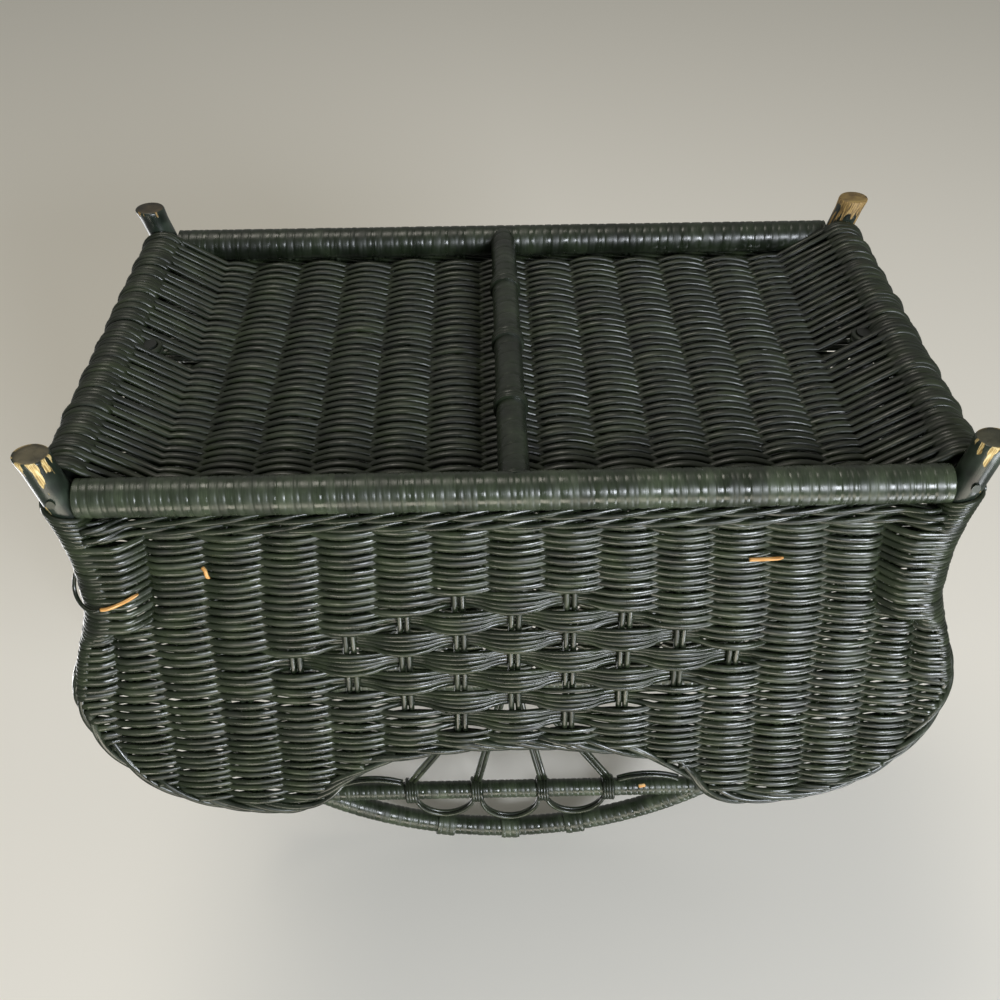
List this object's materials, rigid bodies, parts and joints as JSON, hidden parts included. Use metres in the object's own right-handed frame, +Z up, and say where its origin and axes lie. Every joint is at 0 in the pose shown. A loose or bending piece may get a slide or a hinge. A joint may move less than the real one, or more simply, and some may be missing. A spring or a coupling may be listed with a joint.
{
  "type": "wicker magazine basket",
  "caption": "Woven wicker magazine basket with flared sides, open ends, splayed feet and a woven divider topped by an arched carrying hoop.",
  "frame": {"origin": "on the floor, under the middle of the base", "axes": "+Z up, +X towards the right-hand end along the length, -Y towards the front side"},
  "size_m": [0.4354, 0.2994, 0.4224],
  "materials": {
    "painted_post": "old dark green gloss paint over bent cane, worn to bare wood at the feet",
    "painted_rail": "dark green gloss paint",
    "painted_cane": "split cane wound round the rails, dark green gloss paint",
    "painted_weft": "woven round reed, dark green gloss paint",
    "painted_stake": "round reed, dark green gloss paint",
    "iron_nail": "painted wire nails"
  },
  "bodies": {
    "root": {"front_post_right": "painted_post", "front_post_left": "painted_post", "back_post_right": "painted_post", "back_post_left": "painted_post", "front_rail": "painted_rail", "back_rail": "painted_rail", "right_end_rail": "painted_rail", "left_end_rail": "painted_rail", "cross_rail": "painted_rail", "hoop": "painted_rail", "inner_bar": "painted_rail", "lower_bar": "painted_rail", "front_rail_cane": "painted_cane", "back_rail_cane": "painted_cane", "cross_rail_cane": "painted_cane", "cross_rail_bindings": "painted_cane", "hoop_cane": "painted_cane", "hoop_bindings": "painted_cane", "inner_bar_cane": "painted_cane", "lower_bar_cane": "painted_cane", "knots": "painted_cane", "base_weave": "painted_weft", "front_weave": "painted_weft", "front_open_bands": "painted_weft", "front_rim": "painted_weft", "back_weave": "painted_weft", "back_open_bands": "painted_weft", "back_rim": "painted_weft", "divider_weave": "painted_weft", "base_stakes": "painted_stake", "front_stakes": "painted_stake", "back_stakes": "painted_stake", "divider_stakes": "painted_stake", "spokes": "painted_stake", "loops": "painted_stake", "nails": "iron_nail"}
  },
  "joints": []
}
